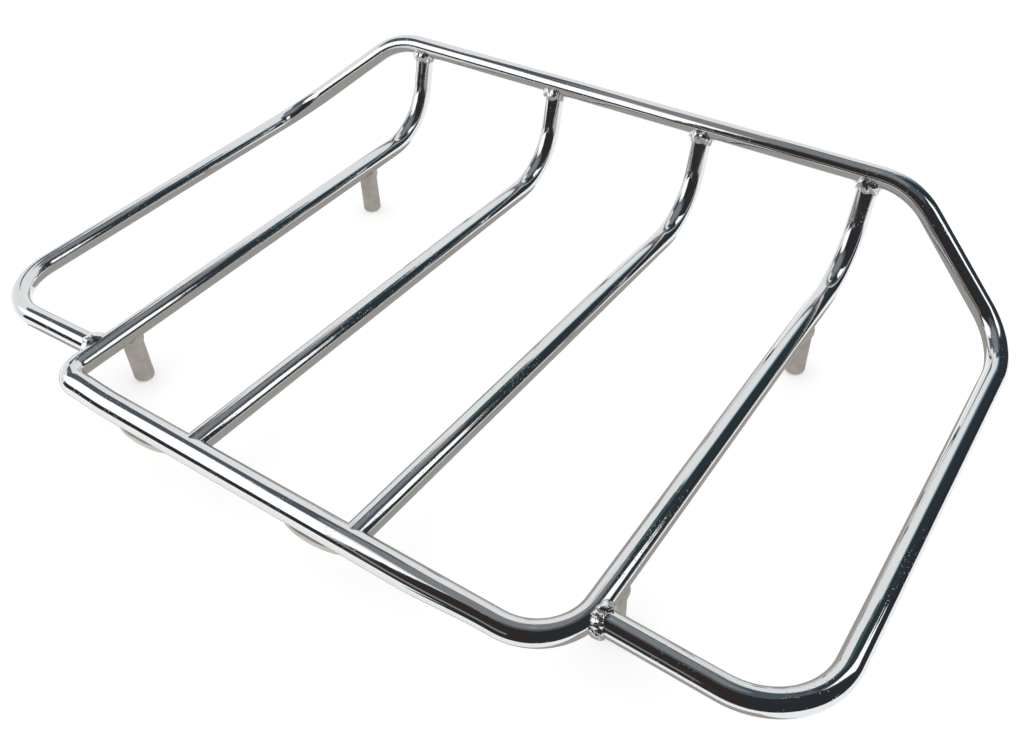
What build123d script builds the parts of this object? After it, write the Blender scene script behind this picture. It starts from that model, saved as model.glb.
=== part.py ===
from build123d import *
import os
from math import sqrt

# Motorcycle luggage rack: bent steel tube, welded and plated.
# +X runs across the rack, +Y towards the raised rear rail, +Z up.
# The rack stands on its four posts, with the origin under the middle of its outline.

# Tube, in millimetres
tube_d = 12.7
tube_wall = 1.5
front_d = 14.8          # front cross tube at full size
front_lead = 0.8        # its axis ahead of the bars' plane
front_sink = 0.7        # and below it
neck_run = 3.0          # bar-size run between a bend and the taper up to full size
left_taper = 6.0
right_taper = 48.0

# Bars
bar_pitch = 108.0
kick_lead = 15.5        # the kick's corner ahead of the rear rail's axis
kick_radius = 42.0
inner_front_shift = -7.0    # inner bars' ends off their even spacing
inner_rear_shift = 2.0
left_bend_radius = 12.0
right_bend_radius = 31.5

# Outer rail, its runs measured back and its rise up from the bars' axis at the front
side_half = 263.5
stub_run = 26.2
rear_run = 335.0
rear_rise = 57.0
rear_overhang = 24.0    # rear corners beyond the outer bars
kink_lead = 35.0        # the sides' kinks ahead of the rear rail's axis
side_drop = 4.0
front_corner_radius = 40.0
kink_radius = 38.0
rear_corner_radius = 48.5
end_trim = 2.5          # tube ends stop this far short of the axis they meet

# Posts with a tapped hole in the foot
post_d = 12.0
post_drop = 36.0        # bars' axis above the foot
post_front_run = 46.0
post_rear_run = 259.0
foot_land = 0.5         # flat ring left between the foot's rounded edge and the hole
tap_d = 5.0
tap_depth = 16.0
tap_lead_in = 0.4

# Oval pads under the front tube
pad_x = (-97.0, 24.0)
pad_length = 44.0
pad_depth = 14.0
pad_thickness = 3.5
pad_seat = 0.8          # depth to which the tube beds into the pad
pad_weld_length = 20.0
pad_weld_foot = 4.8     # reach of the fillet across the pad
pad_weld_rise = 2.2     # and up the tube

# Weld beads
rail_bead = 2.0
post_bead = 1.7

# Derived sizes
tube_r = tube_d / 2
bore_r = tube_r - tube_wall
front_r = front_d / 2
front_bore_r = front_r - tube_wall
post_r = post_d / 2
tap_r = tap_d / 2
post_edge = post_r - tap_r - tap_lead_in - foot_land
bar_x = bar_pitch * 1.5
inner_bar_x = bar_pitch / 2
rear_half = bar_x + rear_overhang
neck_left = left_bend_radius + neck_run - bar_x
neck_right = bar_x - right_bend_radius - neck_run
front_full_left = neck_left + left_taper
front_full_right = neck_right - right_taper
kick_rise = Vector(0, kick_lead, rear_rise).normalized()
rear_ring = 1.5 * tube_r / sqrt(2)      # arc of the rear beads
rear_sag = kick_rise.Y * (tube_r - rear_ring / sqrt(2))
rear_reach = rear_ring * sqrt(1 - kick_rise.Y**2 / 2) - rear_sag + rail_bead
y_front = (front_lead + front_r - rear_run - rear_reach) / 2
y_rear = y_front + rear_run
bar_z = post_drop
rear_z = bar_z + rear_rise
side_z = bar_z - side_drop
front_axis = Vector(0, y_front - front_lead, bar_z - front_sink)
rear_axis = Vector(0, y_rear, rear_z)
kick_vertex = Vector(0, y_rear - kick_lead, bar_z)
across = Vector(1, 0, 0)
along = Vector(0, 1, 0)
upward = Vector(0, 0, 1)

os.makedirs("parts", exist_ok=True)


def at(x, point):
    """The point moved to the given place across the rack."""
    return Vector(x, point.Y, point.Z)


def swept(points, radii, section_radius):
    """Solid rod of the section radius along straight runs and tangent arcs."""
    with BuildPart() as rod:
        with BuildLine() as path:
            FilletPolyline(*points, radius=radii)
        with BuildSketch(Plane(origin=path.line @ 0, z_dir=path.line % 0)):
            Circle(section_radius)
        sweep()
    return rod.part


def cross_plane(x, centre):
    """Plane across the front tube, with its origin on the given centre line."""
    return Plane(origin=at(x, centre), x_dir=along, z_dir=across)


def loop_run(bar_radius, front_radius):
    """Outer bars and front tube as one solid run of the given radii."""
    bar_axis = Vector(0, y_front, bar_z)
    rear_end = rear_axis - kick_rise * end_trim
    bends = ((-bar_x, neck_left, left_bend_radius), (bar_x, neck_right, right_bend_radius))
    with BuildPart() as run:
        for x, neck, bend_radius in bends:
            points = [at(x, rear_end), at(x, kick_vertex), at(x, bar_axis), at(neck, bar_axis)]
            add(swept(points, [kick_radius, bend_radius], bar_radius))
        for neck, full in ((neck_left, front_full_left), (neck_right, front_full_right)):
            with BuildSketch(cross_plane(neck, bar_axis)):
                Circle(bar_radius)
            with BuildSketch(cross_plane(full, front_axis)):
                Circle(front_radius)
            loft()
        with BuildSketch(cross_plane(front_full_left, front_axis)):
            Circle(front_radius)
        extrude(amount=front_full_right - front_full_left)
    return run.part


def bar_run(x, radius):
    """One inner bar as a solid rod from the front tube to the rear rail."""
    front_x = x + inner_front_shift
    rear_x = x + inner_rear_shift
    rear_end = rear_axis - kick_rise * end_trim
    points = [Vector(front_x, y_front, bar_z), at(rear_x, kick_vertex), at(rear_x, rear_end)]
    return swept(points, [kick_radius], radius)


def rail_run(radius):
    """The outer rail as a solid rod from stub to stub."""
    left = [
        Vector(-bar_x - end_trim, y_front + stub_run, bar_z),
        Vector(-side_half, y_front + stub_run, side_z),
        Vector(-side_half, y_rear - kink_lead, side_z),
        Vector(-rear_half, y_rear, rear_z),
    ]
    right = [Vector(-p.X, p.Y, p.Z) for p in reversed(left)]
    corners = [front_corner_radius, kink_radius, rear_corner_radius]
    return swept(left + right, corners + corners[::-1], radius)


def bead(joint, branch, main, branch_radius, main_radius, bead_radius):
    """Weld bead round a tube that meets another one squarely.

    The seam is close to two round arcs, one on each side, so the bead is half of one
    ring and its mirror image.
    """
    middle = Plane(origin=joint, x_dir=branch, z_dir=main)
    crown = sqrt(max(main_radius**2 - branch_radius**2, 0))
    reach = Vector(branch_radius, crown - main_radius).length
    ring_radius = (branch_radius**2 + reach**2) / (2 * reach)
    slope = (main * branch_radius - branch * (main_radius - crown)).normalized()
    centre = joint - branch * crown + slope * (reach - ring_radius)
    with BuildPart() as ring:
        with Locations(Plane(origin=centre, x_dir=slope, z_dir=slope.cross(branch.cross(main)))):
            Torus(ring_radius, bead_radius)
        split(bisect_by=middle, keep=Keep.TOP)
        mirror(about=middle)
    return ring.part


def save(part, name):
    """Label a finished piece, clear of loose faces left by its cuts, and write its file."""
    piece = part.solids().sort_by(SortBy.VOLUME)[-1]
    piece.label = name
    export_step(piece, f"parts/{name}.step")


# Solid runs that other pieces are fitted to, and the halves that meet at the front and the rear
loop_solid = loop_run(tube_r, front_r)
rail_solid = rail_run(tube_r)
halfway = Plane(origin=(0, 0, 0), z_dir=along)
with BuildPart() as front_loop_solid:
    add(loop_solid)
    split(bisect_by=halfway, keep=Keep.BOTTOM)
with BuildPart() as rear_rail_solid:
    add(rail_solid)
    split(bisect_by=halfway, keep=Keep.TOP)

# Outer rail, with its stubs fitted round the outer bars
with BuildPart() as outer_rail:
    add(rail_solid)
    add(rail_run(bore_r), mode=Mode.SUBTRACT)
    add(front_loop_solid.part, mode=Mode.SUBTRACT)
save(outer_rail.part, "outer_rail")

# Outer bars and front tube, bent from one length
with BuildPart() as inner_loop:
    add(loop_solid)
    add(loop_run(bore_r, front_bore_r), mode=Mode.SUBTRACT)
    add(rear_rail_solid.part, mode=Mode.SUBTRACT)
save(inner_loop.part, "inner_loop")

# Inner bars
for bar_side, x in (("left", -inner_bar_x), ("right", inner_bar_x)):
    with BuildPart() as inner_bar:
        add(bar_run(x, tube_r))
        add(bar_run(x, bore_r), mode=Mode.SUBTRACT)
        add(loop_solid, mode=Mode.SUBTRACT)
        add(rear_rail_solid.part, mode=Mode.SUBTRACT)
    save(inner_bar.part, f"inner_bar_{bar_side}")

# Posts under the outer bars
for bar_side, x in (("left", -bar_x), ("right", bar_x)):
    for post_end, run in (("front", post_front_run), ("rear", post_rear_run)):
        y = y_front + run
        with BuildPart() as post:
            with BuildSketch(Plane(origin=(x, y, 0))):
                Circle(post_r)
            extrude(amount=bar_z)
            fillet(post.edges().group_by(Axis.Z)[0], post_edge)
            with BuildSketch(Plane(origin=(x, y, 0))):
                Circle(tap_r)
            extrude(amount=tap_depth, mode=Mode.SUBTRACT)
            chamfer(post.edges().group_by(Axis.Z)[0].sort_by(SortBy.LENGTH)[0], tap_lead_in)
            add(loop_solid, mode=Mode.SUBTRACT)
        save(post.part, f"post_{post_end}_{bar_side}")

        with BuildPart() as post_weld:
            add(bead(Vector(x, y, bar_z), upward, along, post_r, tube_r, post_bead))
            with BuildSketch(Plane(origin=(x, y, 0))):
                Circle(post_r)
            extrude(amount=bar_z, mode=Mode.SUBTRACT)
            add(loop_solid, mode=Mode.SUBTRACT)
        save(post_weld.part, f"weld_post_{post_end}_{bar_side}")

# Beads where the stubs meet the outer bars
for bar_side, x in (("left", -bar_x), ("right", bar_x)):
    inward = Vector(-x, 0, 0).normalized()
    with BuildPart() as stub_weld:
        add(bead(Vector(x, y_front + stub_run, bar_z), inward, along, tube_r, tube_r, rail_bead))
        add(rail_solid, mode=Mode.SUBTRACT)
        add(loop_solid, mode=Mode.SUBTRACT)
    save(stub_weld.part, f"weld_stub_{bar_side}")

# Beads under the rear rail
rear_joints = {
    "outer_left": -bar_x,
    "inner_left": inner_rear_shift - inner_bar_x,
    "inner_right": inner_rear_shift + inner_bar_x,
    "outer_right": bar_x,
}
for joint_name, x in rear_joints.items():
    with BuildPart() as rear_weld:
        add(bead(at(x, rear_axis), kick_rise, across, tube_r, tube_r, rail_bead))
        with BuildSketch(Plane(origin=at(x, rear_axis), x_dir=across, z_dir=-kick_rise)):
            Circle(tube_r)
        extrude(amount=tube_d, mode=Mode.SUBTRACT)
        add(rear_rail_solid.part, mode=Mode.SUBTRACT)
    save(rear_weld.part, f"weld_rear_{joint_name}")

# Oval pads under the front tube, each with a fillet of weld along both sides
pad_top = front_axis.Z - front_r + pad_seat
pad_weld_head = sqrt(front_r**2 - (front_r - pad_seat - pad_weld_rise) ** 2)
for pad_side, x in zip(("left", "right"), pad_x):
    with BuildPart() as pad:
        with BuildSketch(Plane(origin=(x, y_front, pad_top - pad_thickness))):
            Ellipse(pad_length / 2, pad_depth / 2)
        extrude(amount=pad_thickness)
        add(loop_solid, mode=Mode.SUBTRACT)
    save(pad.part, f"pad_{pad_side}")

    for weld_side, way in (("front", -1), ("back", 1)):
        weld_start = Plane(origin=(x - pad_weld_length / 2, front_axis.Y, pad_top), x_dir=along, z_dir=across)
        with BuildPart() as pad_weld:
            with BuildSketch(weld_start):
                with BuildLine():
                    Polyline(
                        (0, 0),
                        (way * pad_weld_foot, 0),
                        (way * pad_weld_head, pad_weld_rise),
                        (0, pad_weld_rise),
                        close=True,
                    )
                make_face()
            extrude(amount=pad_weld_length)
            add(loop_solid, mode=Mode.SUBTRACT)
        save(pad_weld.part, f"weld_pad_{pad_side}_{weld_side}")
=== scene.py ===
"""Looks of a bright-plated motorcycle luggage rack, built round its CAD frame."""

from math import atan2, cos, pi, radians, sin, sqrt, tan

import bmesh
import bpy
from mathutils import Matrix, Vector, noise


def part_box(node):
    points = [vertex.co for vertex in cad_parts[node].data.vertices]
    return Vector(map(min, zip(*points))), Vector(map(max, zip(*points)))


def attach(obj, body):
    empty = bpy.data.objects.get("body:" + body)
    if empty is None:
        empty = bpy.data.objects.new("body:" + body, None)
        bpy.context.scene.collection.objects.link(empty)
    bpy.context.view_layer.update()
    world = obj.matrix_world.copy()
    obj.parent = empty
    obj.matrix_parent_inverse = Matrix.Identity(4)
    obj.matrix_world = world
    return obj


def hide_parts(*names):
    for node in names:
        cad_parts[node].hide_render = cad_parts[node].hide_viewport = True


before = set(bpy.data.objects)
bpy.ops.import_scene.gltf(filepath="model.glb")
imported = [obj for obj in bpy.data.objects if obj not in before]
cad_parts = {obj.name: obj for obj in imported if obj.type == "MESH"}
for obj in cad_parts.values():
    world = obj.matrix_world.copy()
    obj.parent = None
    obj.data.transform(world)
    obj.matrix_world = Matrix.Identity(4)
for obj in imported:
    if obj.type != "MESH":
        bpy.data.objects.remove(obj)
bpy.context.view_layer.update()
mm = 0.001

# Tube
tube_r = 12.7 * mm / 2
front_r = 14.8 * mm / 2
front_lead = 0.8 * mm
front_sink = 0.7 * mm
neck_run = 3.0 * mm
left_settle = 30.0 * mm
right_taper = 48.0 * mm

# Bars
bar_pitch = 108.0 * mm
kick_lead = 15.5 * mm
kick_radius = 42.0 * mm
inner_front_shift = -7.0 * mm
inner_rear_shift = 2.0 * mm
left_bend_radius = 12.0 * mm
right_bend_radius = 31.5 * mm

# Outer rail
side_half = 263.5 * mm
stub_run = 26.2 * mm
rear_run = 335.0 * mm
rear_rise = 57.0 * mm
rear_overhang = 24.0 * mm
kink_lead = 35.0 * mm
side_drop = 4.0 * mm
front_corner_radius = 40.0 * mm
kink_radius = 38.0 * mm
rear_corner_radius = 48.5 * mm
end_trim = 2.5 * mm

# Creases by the tight bend
crease_reach = 15.0 * mm
crease_depth = 0.5 * mm
crease_grain = 4.5 * mm

# Weld beads
rail_bead = 2.7 * mm
post_bead = 2.2 * mm
post_bead_sink = 0.7 * mm
weld_stand_off = 4.6 * mm
bead_stand_off = 5.4 * mm
bead_ripple = 3.0 * mm
rail_lumps = 0.42
bead_narrowing = 0.8
bead_stretch = 1.35
post_lumps = 0.2
fine_ripple = 2.3
fine_share = 0.4
sway_ripple = 0.7
sway_share = 0.6
bead_shift = (7.3, 3.1, 1.7)

# Places worked out from the frame and the sizes above
post_low, post_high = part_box("post_front_right")
rail_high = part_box("outer_rail")[1]
bar_x = bar_pitch * 1.5
inner_bar_x = bar_pitch / 2
rear_half = bar_x + rear_overhang
y_rear = rail_high.y - tube_r
y_front = y_rear - rear_run
rear_z = rail_high.z - tube_r
bar_z = rear_z - rear_rise
side_z = bar_z - side_drop
post_r = (post_high.x - post_low.x) / 2
neck_right = bar_x - right_bend_radius - neck_run
front_full_left = left_bend_radius + left_settle - bar_x
front_full_right = neck_right - right_taper
bar_axis = Vector((0, y_front, bar_z))
front_axis = Vector((0, y_front - front_lead, bar_z - front_sink))
rear_axis = Vector((0, y_rear, rear_z))
kick_vertex = Vector((0, y_rear - kick_lead, bar_z))
kick_rise = (rear_axis - kick_vertex).normalized()
across = Vector((1, 0, 0))
along = Vector((0, 1, 0))
upward = Vector((0, 0, 1))

# Mesh fineness
tube_sides = 64
bend_step = radians(2.5)
straight_step = 12.0 * mm
swage_steps = 10
bead_sides = 24
bead_steps = 150


def at(x, point):
    """The point moved to the given place across the rack."""
    return Vector((x, point.y, point.z))


# Bending tube

def start_ring(bm, centre, direction, radius):
    """Open ring of edges square to the direction, from which a tube is drawn."""
    turn = direction.to_track_quat("Z", "Y").to_matrix().to_4x4()
    place = Matrix.Translation(centre) @ turn
    bmesh.ops.create_circle(bm, cap_ends=False, segments=tube_sides, radius=radius, matrix=place)
    return bm.edges[:]


def ring_verts(ring):
    """Corners of a ring of edges, each one once."""
    return list(dict.fromkeys(vert for edge in ring for vert in edge.verts))


def resize_end(bm, verts, growth):
    """Tube's end swollen or shrunk about its own middle."""
    middle = sum((vert.co for vert in verts), Vector()) / len(verts)
    bmesh.ops.scale(bm, vec=(growth,) * 3, space=Matrix.Translation(-middle), verts=verts)


def draw_out(bm, ring, step, growth=1.0):
    """Tube drawn straight on by the step, its end swelling or shrinking by the growth."""
    made = bmesh.ops.extrude_edge_only(bm, edges=ring)["geom"]
    verts = [item for item in made if isinstance(item, bmesh.types.BMVert)]
    resize_end(bm, verts, growth)
    bmesh.ops.translate(bm, vec=step, verts=verts)
    edges = [item for item in made if isinstance(item, bmesh.types.BMEdge)]
    end_verts = set(verts)
    return [edge for edge in edges if end_verts.issuperset(edge.verts)]


def draw_straight(bm, ring, run):
    """Tube drawn straight on along the run, in short lengths that keep its shading even."""
    count = max(1, round(run.length / straight_step))
    for _ in range(count):
        ring = draw_out(bm, ring, run / count)
    return ring


def draw_swage(bm, ring, run, growth):
    """Tube drawn along the run, its size and the place of its axis easing in and out of the change."""
    forward = across * run.dot(across)
    sideways = run - forward
    size_before = 1.0
    ease_before = 0.0
    for count in range(1, swage_steps + 1):
        part = count / swage_steps
        ease = part * part * (3 - 2 * part)
        size = 1 + (growth - 1) * ease
        step = forward / swage_steps + sideways * (ease - ease_before)
        ring = draw_out(bm, ring, step, size / size_before)
        size_before = size
        ease_before = ease
    return ring


def steps_round(turn):
    """How many short lengths a bend of the turn is made of."""
    return max(2, round(turn / bend_step))


def bend_round(bm, ring, centre, axis, turn, steps):
    """Tube bent on round the axis by the turn."""
    made = bmesh.ops.spin(bm, geom=ring, cent=centre, axis=axis, angle=turn, steps=steps)
    return [item for item in made["geom_last"] if isinstance(item, bmesh.types.BMEdge)]


def bend_swelling(bm, ring, centre, axis, turn, growth):
    """Tube bent on round the axis by the turn, swelling by the growth as it goes."""
    steps = steps_round(turn)
    for _ in range(steps):
        ring = bend_round(bm, ring, centre, axis, turn / steps, 1)
        resize_end(bm, ring_verts(ring), growth ** (1 / steps))
    return ring


def follow(bm, ring, points, radii):
    """Tube drawn through the points, with a bend of the given radius at each inner one."""
    here = points[0]
    for corner, after, radius in zip(points[1:-1], points[2:], radii):
        way_in = (corner - here).normalized()
        way_out = (after - corner).normalized()
        turn = way_in.angle(way_out)
        trim = radius * tan(turn / 2)
        ring = draw_straight(bm, ring, corner - way_in * trim - here)
        axis = way_in.cross(way_out).normalized()
        centre = corner - way_in * trim + axis.cross(way_in) * radius
        ring = bend_round(bm, ring, centre, axis, turn, steps_round(turn))
        here = corner + way_out * trim
    return draw_straight(bm, ring, points[-1] - here)


def cope(ring, way, main_point, main_way, main_radius, stand_off=0.0):
    """Tube's end slid along its own way to the round side of the tube it meets, or to the stand-off."""
    for vert in ring_verts(ring):
        from_axis = vert.co - main_point
        from_axis -= main_way * from_axis.dot(main_way)
        square_way = way - main_way * way.dot(main_way)
        reach = square_way.length
        square_way /= reach
        depth = from_axis.dot(square_way)
        offset = (from_axis - square_way * depth).length
        stop = -max(sqrt(max(main_radius**2 - offset**2, 0)), stand_off)
        vert.co += way * ((stop - depth) / reach)


def crinkle(bm, spot, reach, depth, grain):
    """Small creases round the spot, as a tight bend leaves them in a tube's wall."""
    bm.normal_update()
    for vert in bm.verts:
        away = (vert.co - spot).length
        if away < reach:
            fade = cos(away / reach * pi / 2) ** 2
            vert.co += vert.normal * (noise.noise(vert.co / grain) * depth * fade)


def close_end(bm, ring):
    """Cap on a tube's end, with a sharp rim that keeps the tube's side evenly round."""
    bmesh.ops.contextual_create(bm, geom=ring)
    for edge in ring:
        edge.smooth = False


def finish_piece(bm, name, material, slot, *nodes):
    """Mesh object at the origin that stands for the named CAD nodes, smooth apart from its end caps."""
    bmesh.ops.recalc_face_normals(bm, faces=bm.faces)
    for face in bm.faces:
        face.smooth = len(face.verts) <= 4
    mesh = bpy.data.meshes.new(name)
    bm.to_mesh(mesh)
    bm.free()
    mesh.materials.append(material)
    piece = bpy.data.objects.new(name, mesh)
    bpy.context.scene.collection.objects.link(piece)
    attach(piece, "root")
    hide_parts(*nodes)


# Plating
pit_core = 0.5
pit_patches = 0.05
pit_dulling = 0.15


def add_noise(material, scale, detail):
    """Soft mottle over the piece, its grain set in marks to the metre."""
    nodes = material.node_tree.nodes
    links = material.node_tree.links
    place = nodes.new("ShaderNodeTexCoord")
    mottle = nodes.new("ShaderNodeTexNoise")
    mottle.inputs["Scale"].default_value = scale
    mottle.inputs["Detail"].default_value = detail
    links.new(place.outputs["Object"], mottle.inputs["Vector"])
    return mottle.outputs["Fac"]


def spread(material, value, low, high, start=0.0, end=1.0):
    """The value between start and end, stretched to run from low to high."""
    nodes = material.node_tree.nodes
    span = nodes.new("ShaderNodeMapRange")
    span.inputs["From Min"].default_value = start
    span.inputs["From Max"].default_value = end
    span.inputs["To Min"].default_value = low
    span.inputs["To Max"].default_value = high
    material.node_tree.links.new(value, span.inputs["Value"])
    return span.outputs["Result"]


def add_pits(material, scale, size):
    """One inside small round pits, thinly scattered, and nought elsewhere."""
    nodes = material.node_tree.nodes
    links = material.node_tree.links
    place = nodes.new("ShaderNodeTexCoord")
    cells = nodes.new("ShaderNodeTexVoronoi")
    cells.inputs["Scale"].default_value = scale
    links.new(place.outputs["Object"], cells.inputs["Vector"])
    pit = spread(material, cells.outputs["Distance"], low=1.0, high=0.0, start=size * pit_core, end=size)
    mottle = add_noise(material, scale=scale * pit_patches, detail=1.0)
    patch = spread(material, mottle, low=0.0, high=1.0, start=0.50, end=0.58)
    both = nodes.new("ShaderNodeMath")
    both.operation = "MULTIPLY"
    links.new(pit, both.inputs[0])
    links.new(patch, both.inputs[1])
    return both.outputs[0]


def add_bump(material, height, depth, before=None):
    """Surface raised by the height, up to the depth in metres."""
    nodes = material.node_tree.nodes
    links = material.node_tree.links
    bump = nodes.new("ShaderNodeBump")
    bump.inputs["Distance"].default_value = depth
    links.new(height, bump.inputs["Height"])
    if before is not None:
        links.new(before, bump.inputs["Normal"])
    return bump.outputs["Normal"]


def new_metal(name, colour, metallic):
    """Plain metal of one colour, with its shader and its links."""
    material = bpy.data.materials.new(name)
    material.use_nodes = True
    shader = material.node_tree.nodes["Principled BSDF"]
    shader.inputs["Base Color"].default_value = (*colour, 1)
    shader.inputs["Metallic"].default_value = metallic
    return material, shader, material.node_tree.links


def bright_plating():
    """Mirror plating on polished tube: a faint waviness, a hazy mottle and stray pits."""
    material, shader, links = new_metal("bright_plating", colour=(0.70, 0.71, 0.72), metallic=1.0)
    pits = add_pits(material, scale=700, size=0.22)
    mottle = add_noise(material, scale=60, detail=3.0)
    haze = spread(material, mottle, low=0.04, high=0.10, start=0.35, end=0.65)
    rough = material.node_tree.nodes.new("ShaderNodeMath")
    rough.operation = "MULTIPLY_ADD"
    rough.inputs[1].default_value = pit_dulling
    links.new(pits, rough.inputs[0])
    links.new(haze, rough.inputs[2])
    links.new(rough.outputs[0], shader.inputs["Roughness"])
    wave = add_bump(material, add_noise(material, scale=110, detail=1.0), depth=0.05 * mm)
    hollow = spread(material, pits, low=0.0, high=-1.0)
    dent = add_bump(material, hollow, depth=0.035 * mm, before=wave)
    links.new(dent, shader.inputs["Normal"])
    return material


def bead_plating():
    """Plating over a weld bead, dulled in soft random patches."""
    material, shader, links = new_metal("bead_plating", colour=(0.80, 0.80, 0.81), metallic=1.0)
    mottle = add_noise(material, scale=420, detail=2.0)
    dull = spread(material, mottle, low=0.06, high=0.30, start=0.35, end=0.7)
    links.new(dull, shader.inputs["Roughness"])
    grain = add_bump(material, add_noise(material, scale=900, detail=2.0), depth=0.15 * mm)
    links.new(grain, shader.inputs["Normal"])
    return material


def satin_plating():
    """Duller, warmer plating on the posts and pads, clouded and finely grained."""
    material, shader, links = new_metal("satin_plating", colour=(0.58, 0.55, 0.51), metallic=0.55)
    clouds = add_noise(material, scale=130, detail=3.0)
    tone = material.node_tree.nodes.new("ShaderNodeMix")
    tone.data_type = "RGBA"
    tone.inputs["A"].default_value = (0.52, 0.49, 0.45, 1)
    tone.inputs["B"].default_value = (0.64, 0.61, 0.57, 1)
    lightness = spread(material, clouds, low=0.0, high=1.0, start=0.35, end=0.65)
    links.new(lightness, tone.inputs["Factor"])
    links.new(tone.outputs["Result"], shader.inputs["Base Color"])
    mottle = add_noise(material, scale=300, detail=2.0)
    dull = spread(material, mottle, low=0.38, high=0.52, start=0.3, end=0.7)
    links.new(dull, shader.inputs["Roughness"])
    grain = add_bump(material, add_noise(material, scale=1500, detail=2.0), depth=0.03 * mm)
    links.new(grain, shader.inputs["Normal"])
    return material


bright = bright_plating()
bead_finish = bead_plating()
satin = satin_plating()


# Tubes

def make_outer_rail():
    """Outer rail from stub to stub."""
    left = [
        Vector((-bar_x - end_trim, y_front + stub_run, bar_z)),
        Vector((-side_half, y_front + stub_run, side_z)),
        Vector((-side_half, y_rear - kink_lead, side_z)),
        Vector((-rear_half, y_rear, rear_z)),
    ]
    right = [Vector((-p.x, p.y, p.z)) for p in reversed(left)]
    corners = [front_corner_radius, kink_radius, rear_corner_radius]
    points = left + right
    first_way = (points[1] - points[0]).normalized()
    last_way = (points[-1] - points[-2]).normalized()
    bm = bmesh.new()
    first = start_ring(bm, points[0], first_way, tube_r)
    last = follow(bm, first, points, corners + corners[::-1])
    cope(first, -first_way, at(-bar_x, bar_axis), along, tube_r, weld_stand_off)
    cope(last, last_way, at(bar_x, bar_axis), along, tube_r, weld_stand_off)
    close_end(bm, first)
    close_end(bm, last)
    finish_piece(bm, "outer_rail_tube", bright, "tube", "outer_rail")


def make_inner_loop():
    """Outer bars and the thicker front tube, bent from one length."""
    rear_end = rear_axis - kick_rise * end_trim
    bend_start = at(-bar_x, bar_axis) + along * left_bend_radius
    left = [at(-bar_x, rear_end), at(-bar_x, kick_vertex), bend_start]
    right = [at(neck_right, bar_axis), at(bar_x, bar_axis), at(bar_x, kick_vertex), at(bar_x, rear_end)]
    growth = front_r / tube_r
    bm = bmesh.new()
    first = start_ring(bm, left[0], -kick_rise, tube_r)
    ring = follow(bm, first, left, [kick_radius])
    ring = bend_swelling(bm, ring, bend_start + across * left_bend_radius, upward, pi / 2, growth)
    bend_end = at(left_bend_radius - bar_x, bar_axis)
    ring = draw_swage(bm, ring, at(front_full_left, front_axis) - bend_end, 1.0)
    ring = draw_straight(bm, ring, across * (front_full_right - front_full_left))
    ring = draw_swage(bm, ring, right[0] - at(front_full_right, front_axis), 1 / growth)
    last = follow(bm, ring, right, [right_bend_radius, kick_radius])
    crinkle(bm, bend_start + upward * tube_r, crease_reach, crease_depth, crease_grain)
    for end in (first, last):
        cope(end, kick_rise, rear_axis, across, tube_r, weld_stand_off)
        close_end(bm, end)
    finish_piece(bm, "inner_loop_tube", bright, "tube", "inner_loop")


def make_inner_bar(side, x):
    """Bar butted on the front tube and curving up to the rear rail."""
    rear_x = x + inner_rear_shift
    rear_end = rear_axis - kick_rise * end_trim
    points = [at(x + inner_front_shift, bar_axis), at(rear_x, kick_vertex), at(rear_x, rear_end)]
    first_way = (points[1] - points[0]).normalized()
    bm = bmesh.new()
    first = start_ring(bm, points[0], first_way, tube_r)
    last = follow(bm, first, points, [kick_radius])
    cope(first, -first_way, front_axis, across, front_r)
    cope(last, kick_rise, rear_axis, across, tube_r, weld_stand_off)
    close_end(bm, first)
    close_end(bm, last)
    finish_piece(bm, f"inner_bar_{side}_tube", bright, "tube", f"inner_bar_{side}")


make_outer_rail()
make_inner_loop()
make_inner_bar("left", -inner_bar_x)
make_inner_bar("right", inner_bar_x)


# Beads

def make_bead(name, joint, branch, main, ring_radius, bead_radius, lumps, finish, seed):
    """Hand-laid bead round the seam where a tube meets another one squarely."""
    side = branch.cross(main)
    bm = bmesh.new()
    spot = Matrix.Translation((ring_radius, 0, 0)) @ Matrix.Rotation(pi / 2, 4, "X")
    bmesh.ops.create_circle(bm, cap_ends=False, segments=bead_sides, radius=bead_radius, matrix=spot)
    bmesh.ops.spin(
        bm, geom=bm.edges[:], cent=(0, 0, 0), axis=upward, angle=2 * pi, steps=bead_steps, use_merge=True
    )
    shift = Vector([seed * part for part in bead_shift])
    for vert in bm.verts:
        turn = atan2(vert.co.y, vert.co.x)
        middle = Vector((cos(turn), sin(turn), 0)) * ring_radius
        coarse = noise.noise(vert.co / bead_ripple + shift)
        fine = noise.noise(vert.co / bead_ripple * fine_ripple - shift)
        sway = noise.noise(middle / bead_ripple * sway_ripple + shift) * lumps * bead_radius * sway_share
        swell = (vert.co - middle) * (1 + lumps * (coarse + fine_share * fine))
        shell = middle + Vector((swell.x * bead_narrowing, swell.y * bead_narrowing, swell.z * bead_stretch))
        drop = max(sqrt(max(tube_r**2 - (ring_radius * sin(turn)) ** 2, 0)), bead_stand_off)
        vert.co = joint + main * shell.x + side * shell.y + branch * (shell.z + sway - drop)
    finish_piece(bm, name + "_bead", finish, "weld", name)


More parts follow.
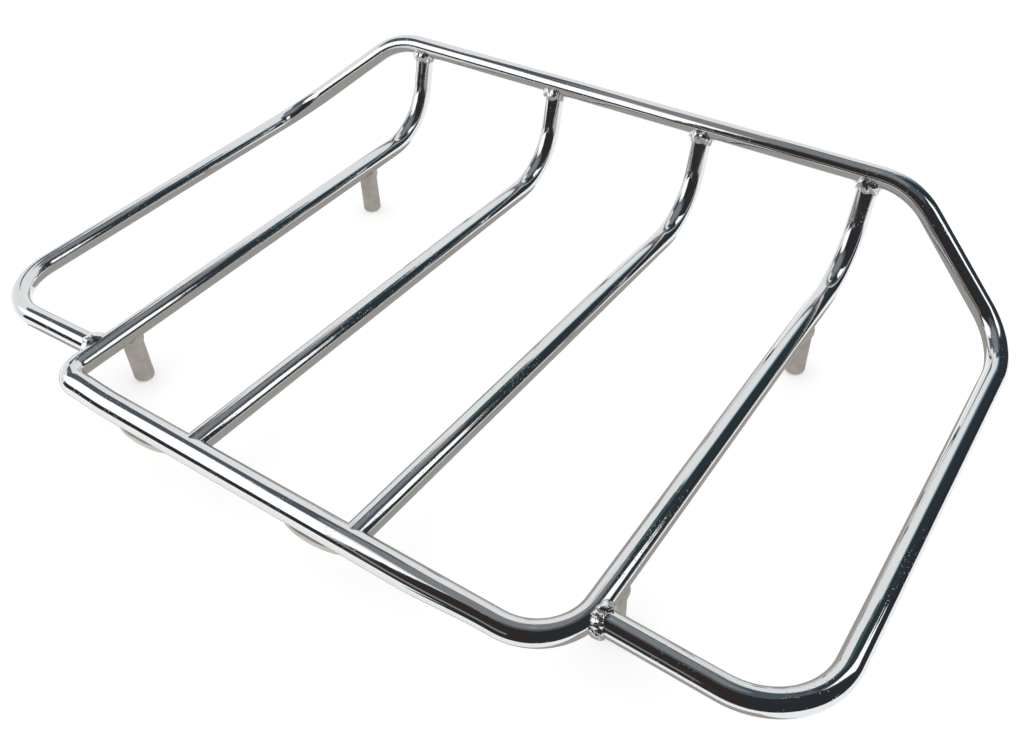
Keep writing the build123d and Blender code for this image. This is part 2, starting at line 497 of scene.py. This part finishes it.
def make_beads():
    """All the beads that go round a tube or a post, each with lumps of its own."""
    seed = 1
    post_ring = post_r - post_bead_sink
    for bar_side, x in (("left", -bar_x), ("right", bar_x)):
        inward = Vector((-x, 0, 0)).normalized()
        stub_joint = Vector((x, y_front + stub_run, bar_z))
        name = f"weld_stub_{bar_side}"
        make_bead(name, stub_joint, inward, along, tube_r, rail_bead, rail_lumps, bead_finish, seed)
        seed += 1
        for post_end in ("front", "rear"):
            low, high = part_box(f"post_{post_end}_{bar_side}")
            post_joint = Vector((x, (low.y + high.y) / 2, bar_z))
            name = f"weld_post_{post_end}_{bar_side}"
            make_bead(name, post_joint, upward, along, post_ring, post_bead, post_lumps, satin, seed)
            seed += 1
        inner_x = inner_rear_shift + (inner_bar_x if x > 0 else -inner_bar_x)
        for place, rear_x in (("outer", x), ("inner", inner_x)):
            name = f"weld_rear_{place}_{bar_side}"
            rear_joint = at(rear_x, rear_axis)
            make_bead(name, rear_joint, kick_rise, across, tube_r, rail_bead, rail_lumps, bead_finish, seed)
            seed += 1


make_beads()

# Finishes of the CAD pieces that are shown as they are
for name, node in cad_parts.items():
    if name.startswith(("post", "pad", "weld_pad")):
        node.data.materials.clear()
        node.data.materials.append(satin)


# Studio
studio_centre = Vector((0, 0, bar_z))
tent_r = 0.9
panel_steps = 24
floor_reach = 6.0
mat_height = 1.0 * mm
paper_tone = (0.9, 0.9, 0.9)
paper_lift = 0.28
softbox_tone = (1.5, 1.5, 1.5)
flag_tone = (0.03, 0.035, 0.04)
rear_flag_tone = (0.03, 0.045, 0.052)
front_flag_tone = (0.04, 0.03, 0.027)
pale_edge_tone = (0.70, 0.80, 0.84)
deep_edge_tone = (0.14, 0.24, 0.28)
hood_tone = (0.10, 0.12, 0.14)
rear_hood_tone = (0.06, 0.10, 0.12)
high_tone = (0.26, 0.27, 0.28)
# Painted shade: the tone of the paper in the rack's shade, as the plating mirrors it
floor_shade_tone = (0.42, 0.40, 0.37)


def directly_seen(nodes, links):
    """One where the camera, metal or glass looks at a surface, nought where it only lights others."""
    path = nodes.new("ShaderNodeLightPath")
    either = nodes.new("ShaderNodeMath")
    either.operation = "MAXIMUM"
    links.new(path.outputs["Is Camera Ray"], either.inputs[0])
    links.new(path.outputs["Is Glossy Ray"], either.inputs[1])
    seen = nodes.new("ShaderNodeMath")
    seen.operation = "MAXIMUM"
    links.new(either.outputs[0], seen.inputs[0])
    links.new(path.outputs["Is Transmission Ray"], seen.inputs[1])
    return seen.outputs[0]


def paper():
    """Pale paper that takes the rack's shadow and is lifted to white where it is looked at."""
    material = bpy.data.materials.new("paper")
    material.use_nodes = True
    nodes = material.node_tree.nodes
    links = material.node_tree.links
    nodes.remove(nodes["Principled BSDF"])
    shade = nodes.new("ShaderNodeBsdfDiffuse")
    shade.inputs["Color"].default_value = (*paper_tone, 1)
    lift = nodes.new("ShaderNodeMath")
    lift.operation = "MULTIPLY"
    lift.inputs[1].default_value = paper_lift
    links.new(directly_seen(nodes, links), lift.inputs[0])
    glow = nodes.new("ShaderNodeEmission")
    links.new(lift.outputs[0], glow.inputs["Strength"])
    both = nodes.new("ShaderNodeAddShader")
    links.new(shade.outputs[0], both.inputs[0])
    links.new(glow.outputs[0], both.inputs[1])
    links.new(both.outputs[0], nodes["Material Output"].inputs["Surface"])
    return material


def card_paint(name, colour):
    """Even tone of a studio card, the same from wherever the plating mirrors it."""
    material = bpy.data.materials.new(name)
    material.use_nodes = True
    nodes = material.node_tree.nodes
    nodes.remove(nodes["Principled BSDF"])
    glow = nodes.new("ShaderNodeEmission")
    glow.inputs["Color"].default_value = (*colour, 1)
    material.node_tree.links.new(glow.outputs[0], nodes["Material Output"].inputs["Surface"])
    return material


def stage_piece(bm, name, material):
    """Mesh of the stage, in its place."""
    mesh = bpy.data.meshes.new(name)
    bm.to_mesh(mesh)
    bm.free()
    mesh.materials.append(material)
    piece = bpy.data.objects.new(name, mesh)
    bpy.context.scene.collection.objects.link(piece)
    return piece


def only_mirrored(piece):
    """Card that only the plating shows, so that it hides and shades nothing."""
    piece.visible_camera = False
    piece.visible_diffuse = False
    piece.visible_shadow = False


def aim(azimuth, elevation):
    """Direction from the rack, in degrees from the rear round to the right and up from level."""
    turn = radians(azimuth)
    rise = radians(elevation)
    return Vector((sin(turn) * cos(rise), cos(turn) * cos(rise), sin(rise)))


def make_floor():
    """Wide sheet of paper under the rack."""
    bm = bmesh.new()
    bmesh.ops.create_grid(bm, x_segments=1, y_segments=1, size=floor_reach)
    stage_piece(bm, "floor", paper())


def make_panel(name, azimuths, elevations, tone):
    """Curved card round the rack, between the given azimuths and elevations."""
    turn = radians(azimuths[1] - azimuths[0])
    rise = radians(elevations[1] - elevations[0])
    bm = bmesh.new()
    foot = bm.verts.new(aim(azimuths[0], elevations[0]) * tent_r)
    hinge = aim(azimuths[0] + 90, 0)
    bmesh.ops.spin(bm, geom=[foot], cent=(0, 0, 0), axis=hinge, angle=rise, steps=panel_steps)
    rib = bm.verts[:] + bm.edges[:]
    full = azimuths[1] - azimuths[0] == 360
    bmesh.ops.spin(
        bm, geom=rib, cent=(0, 0, 0), axis=-upward, angle=turn, steps=panel_steps, use_merge=full
    )
    bmesh.ops.translate(bm, vec=studio_centre, verts=bm.verts)
    only_mirrored(stage_piece(bm, name, card_paint(name, tone)))


def make_mat(name, sides, ends, tone):
    """Sheet that lies on the floor, between the given sides across and ends along."""
    bm = bmesh.new()
    middle = Matrix.Translation(((sides[0] + sides[1]) / 2, (ends[0] + ends[1]) / 2, mat_height))
    size = Matrix.Diagonal(((sides[1] - sides[0]) / 2, (ends[1] - ends[0]) / 2, 1, 1))
    bmesh.ops.create_grid(bm, x_segments=1, y_segments=1, size=1, matrix=middle @ size)
    only_mirrored(stage_piece(bm, name, card_paint(name, tone)))


def make_world():
    """Even white light from all round."""
    world = bpy.data.worlds.new("studio")
    bpy.context.scene.world = world
    world.use_nodes = True
    background = world.node_tree.nodes["Background"]
    background.inputs["Color"].default_value = (1, 1, 1, 1)
    background.inputs["Strength"].default_value = 1.0


# Cards and mats, by their azimuths and elevations or their places across and along
panels = (
    ("flag_edge_pale", (10, 17), (12, 54), pale_edge_tone),
    ("flag_edge_deep", (17, 25), (12, 54), deep_edge_tone),
    ("rear_flag", (25, 57), (12, 60), rear_flag_tone),
    ("right_softbox_corner", (57, 62), (12, 33), flag_tone),
    ("right_softbox_side", (57, 62), (33, 52), softbox_tone),
    ("right_softbox_base", (62, 74), (12, 22), flag_tone),
    ("right_softbox", (62, 74), (22, 52), softbox_tone),
    ("right_softbox_top", (57, 74), (52, 60), hood_tone),
    ("right_flag", (74, 150), (12, 60), flag_tone),
    ("front_flag", (150, 204), (14, 60), front_flag_tone),
    ("front_low_card", (172, 200), (4, 14), high_tone),
    ("front_low_base", (172, 200), (-3, 4), front_flag_tone),
    ("front_low_flag", (150, 172), (-3, 14), front_flag_tone),
    ("front_softbox", (204, 252), (12, 53), softbox_tone),
    ("left_hood", (254, 289), (26, 50), hood_tone),
    ("left_upper_hood", (237, 318), (50, 60), hood_tone),
    ("left_high_card", (204, 345), (60, 72), high_tone),
    ("rear_hood", (345, 385), (54, 62), rear_hood_tone),
    ("rear_high_card", (345, 385), (62, 72), high_tone),
    ("right_hood", (25, 204), (60, 72), hood_tone),
    ("low_ring_rear", (10, 150), (-3, 12), flag_tone),
    ("low_ring_front", (200, 236), (-3, 12), flag_tone),
    ("top_card", (0, 360), (72, 89), high_tone),
)
mats = (
    # The first sheet is painted shade of the paper under and round the rack; the others are dark sheets
    # further out
    ("painted_floor_shade", (-0.26, 0.26), (-0.177, 0.17), floor_shade_tone),
    ("front_mat_left", (-1.1, 0.05), (-1.1, -0.34), flag_tone),
    ("front_mat_right", (0.05, 1.1), (-1.1, -0.24), flag_tone),
    ("right_mat", (0.42, 1.1), (-0.24, 0.6), flag_tone),
)

make_floor()
make_world()
for panel in panels:
    make_panel(*panel)
for mat in mats:
    make_mat(*mat)

# Camera
view_azimuth = radians(35.79)
view_elevation = radians(42.45)
view_roll = radians(-2.28)
view_distance = 603.3 * mm
view_shift_right = 11.05 * mm
view_shift_up = -52.2 * mm
view_target_back = 183.6 * mm
view_target_up = 10.8 * mm
view_near = 10.0 * mm
view_lens = 36.30
view_sensor = 36


def make_camera():
    """Camera that looks down at the rack from its right front."""
    back = Vector((
        sin(view_azimuth) * cos(view_elevation),
        -cos(view_azimuth) * cos(view_elevation),
        sin(view_elevation),
    ))
    right = Vector((cos(view_azimuth), sin(view_azimuth), 0))
    up = back.cross(right)
    tilted_right = right * cos(view_roll) + up * sin(view_roll)
    tilted_up = up * cos(view_roll) - right * sin(view_roll)
    target = Vector((0, y_front + view_target_back, bar_z + view_target_up))
    target += tilted_right * view_shift_right + tilted_up * view_shift_up
    data = bpy.data.cameras.new("camera")
    data.lens = view_lens
    data.sensor_width = view_sensor
    data.clip_start = view_near
    camera = bpy.data.objects.new("camera", data)
    turn = Matrix((tilted_right, tilted_up, back)).transposed()
    camera.matrix_world = Matrix.Translation(target + back * view_distance) @ turn.to_4x4()
    bpy.context.scene.collection.objects.link(camera)
    bpy.context.scene.camera = camera


make_camera()
bpy.context.scene.view_settings.view_transform = "Standard"
